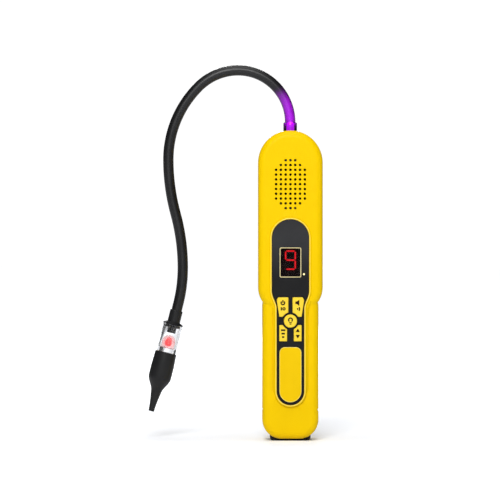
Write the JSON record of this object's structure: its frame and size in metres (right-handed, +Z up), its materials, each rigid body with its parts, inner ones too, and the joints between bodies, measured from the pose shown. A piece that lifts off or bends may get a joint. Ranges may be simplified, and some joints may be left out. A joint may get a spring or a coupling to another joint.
{
  "type": "refrigerant leak detector",
  "caption": "Hand-held leak detector: waisted upright housing with keypad, digit display and grille, and a stiff arched gooseneck that ends in a lit sensor head with a tapered nozzle.",
  "frame": {"origin": "centre of the base foot's flat sole, on the surface that the detector stands on", "axes": "+Z up along the housing, -Y out of the front with the keys, +X to the right in the front view"},
  "size_m": [0.1131, 0.0308, 0.2434],
  "materials": {
    "yellow_shell": "satin",
    "yellow_label": "satin",
    "yellow_key": "satin",
    "charcoal_panel": "satin",
    "pale_frame": "satin",
    "smoked_window": "gloss",
    "black_plastic": "satin",
    "red_segment": "gloss",
    "dark_segment": "satin",
    "lamp_yellow": "gloss",
    "lamp_red": "gloss",
    "lamp_violet": "gloss",
    "board_green": "satin",
    "steel": "satin",
    "coated_steel": "satin",
    "speaker_paper": "matte",
    "cell_wrap": "satin",
    "pump_metal": "satin",
    "hose_clear": "satin",
    "black_rubber": "matte",
    "clear_plastic": "gloss"
  },
  "bodies": {
    "housing": {"front_shell": "yellow_shell", "rear_shell": "yellow_shell", "label_plate": "yellow_label", "control_panel": "charcoal_panel", "display_frame": "pale_frame", "display_window": "smoked_window", "display_module": "black_plastic", "neck_gland": "black_plastic", "switch_bases": "black_plastic", "lit_segments": "red_segment", "dark_segment": "dark_segment", "indicator_lamp": "lamp_yellow", "uv_lamp": "lamp_violet", "circuit_board": "board_green", "board_screws": "steel", "case_screws": "steel", "battery_tabs": "steel", "charge_socket": "steel", "speaker_frame": "coated_steel", "speaker_cone": "speaker_paper", "battery_cell": "cell_wrap", "air_pump": "pump_metal", "pump_hose": "hose_clear", "base_foot": "black_rubber", "gooseneck": "black_rubber"},
    "sensor_head": {"neck_ferrule": "black_rubber", "sensor_holder": "black_plastic", "alarm_lamp": "lamp_red", "clear_cap": "clear_plastic", "sensor_board": "board_green", "gas_sensor": "steel", "nozzle": "black_rubber"},
    "button_upper_left": {"key_upper_left": "yellow_key", "plunger_upper_left": "black_plastic"},
    "button_upper_right": {"key_upper_right": "yellow_key", "plunger_upper_right": "black_plastic"},
    "button_round": {"key_round": "yellow_key", "plunger_round": "black_plastic"},
    "button_lower_left": {"key_lower_left": "yellow_key", "plunger_lower_left": "black_plastic"},
    "button_lower_right": {"key_lower_right": "yellow_key", "plunger_lower_right": "black_plastic"}
  },
  "joints": [
    {"name": "neck_flex", "type": "hinge", "parent": "housing", "child": "sensor_head", "pos_m": [-0.0744, 0, 0.1468], "axis": [0, 1, 0], "range_deg": [-25, 75], "deforming": ["gooseneck"]},
    {"name": "upper_left_press", "type": "slide", "parent": "housing", "child": "button_upper_left", "axis": [0, 1, 0], "range_m": [0, 0.0005], "stiffness_N_per_m": 2000},
    {"name": "upper_right_press", "type": "slide", "parent": "housing", "child": "button_upper_right", "axis": [0, 1, 0], "range_m": [0, 0.0005], "stiffness_N_per_m": 2000},
    {"name": "round_press", "type": "slide", "parent": "housing", "child": "button_round", "axis": [0, 1, 0], "range_m": [0, 0.0005], "stiffness_N_per_m": 2000},
    {"name": "lower_left_press", "type": "slide", "parent": "housing", "child": "button_lower_left", "axis": [0, 1, 0], "range_m": [0, 0.0005], "stiffness_N_per_m": 2000},
    {"name": "lower_right_press", "type": "slide", "parent": "housing", "child": "button_lower_right", "axis": [0, 1, 0], "range_m": [0, 0.0005], "stiffness_N_per_m": 2000}
  ]
}
